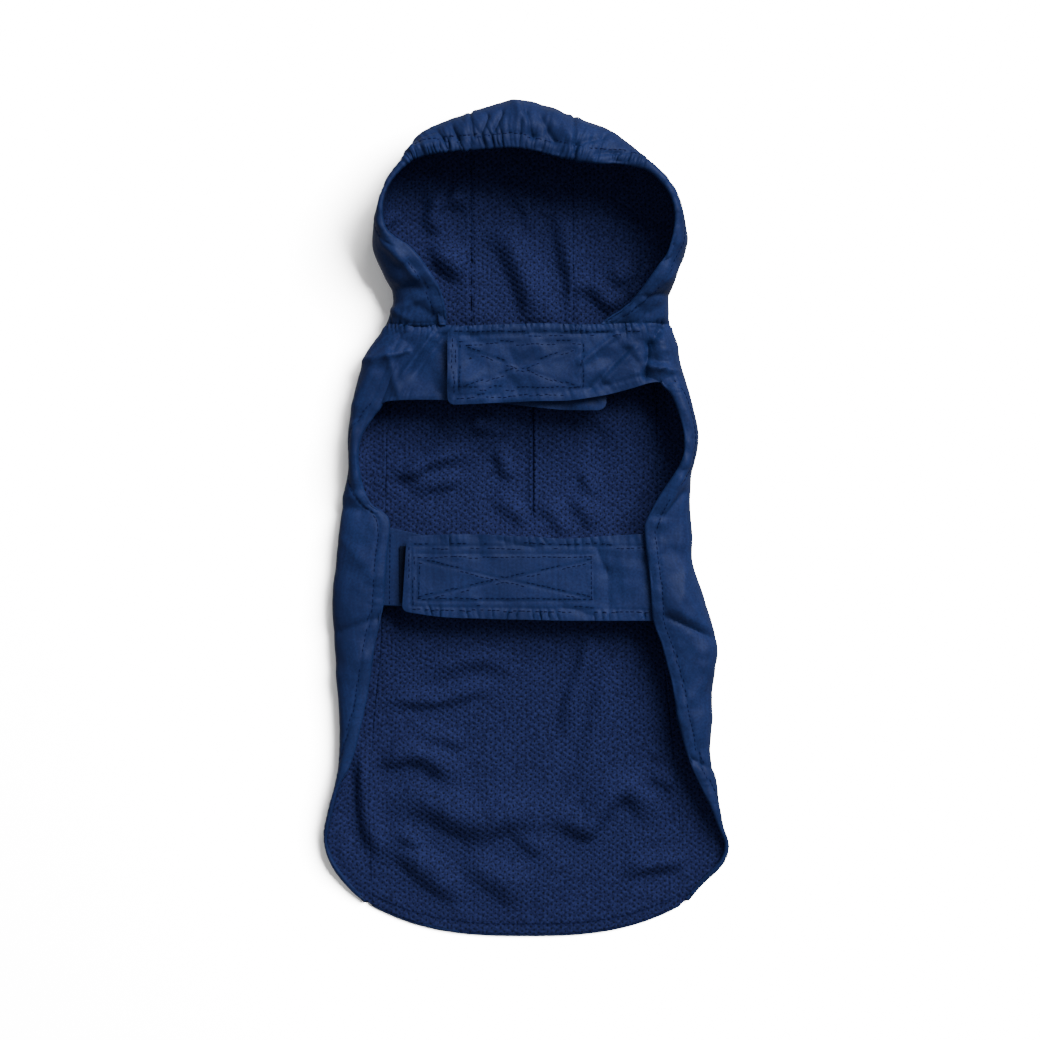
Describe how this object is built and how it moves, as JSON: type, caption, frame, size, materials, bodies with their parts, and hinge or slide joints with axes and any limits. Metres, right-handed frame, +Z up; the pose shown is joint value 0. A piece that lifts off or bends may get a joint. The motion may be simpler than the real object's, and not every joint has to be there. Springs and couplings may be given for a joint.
{
  "type": "dog raincoat",
  "caption": "Small dog's raincoat laid on its back: gathered hood, mesh lining, neck band and belly strap closed by hook-and-loop tape, rounded tail",
  "frame": {"origin": "on the table, under the middle of the laid-out coat's bounding box", "axes": "+X across the coat to the right of the picture, +Y from tail to hood, +Z up from the table"},
  "size_m": [0.214, 0.4385, 0.0456],
  "materials": {
    "shell_cloth": "coated plain weave, slight sheen, fine creases",
    "mesh_lining": "matt warp-knitted mesh with small holes",
    "closure_tape": "matt hook-and-loop tape"
  },
  "bodies": {
    "root": {"shell_back": "shell_cloth", "shell_side_left": "shell_cloth", "shell_side_right": "shell_cloth", "hood_shell_left": "shell_cloth", "hood_shell_centre": "shell_cloth", "hood_shell_right": "shell_cloth", "belly_strap": "shell_cloth", "belly_underlap": "shell_cloth", "lining_back": "mesh_lining", "lining_side_left": "mesh_lining", "lining_side_right": "mesh_lining", "hood_lining_left": "mesh_lining", "hood_lining_centre": "mesh_lining", "hood_lining_right": "mesh_lining", "neck_hook_tape": "closure_tape", "neck_loop_tape": "closure_tape", "belly_hook_tape": "closure_tape", "belly_loop_tape": "closure_tape"}
  },
  "joints": []
}
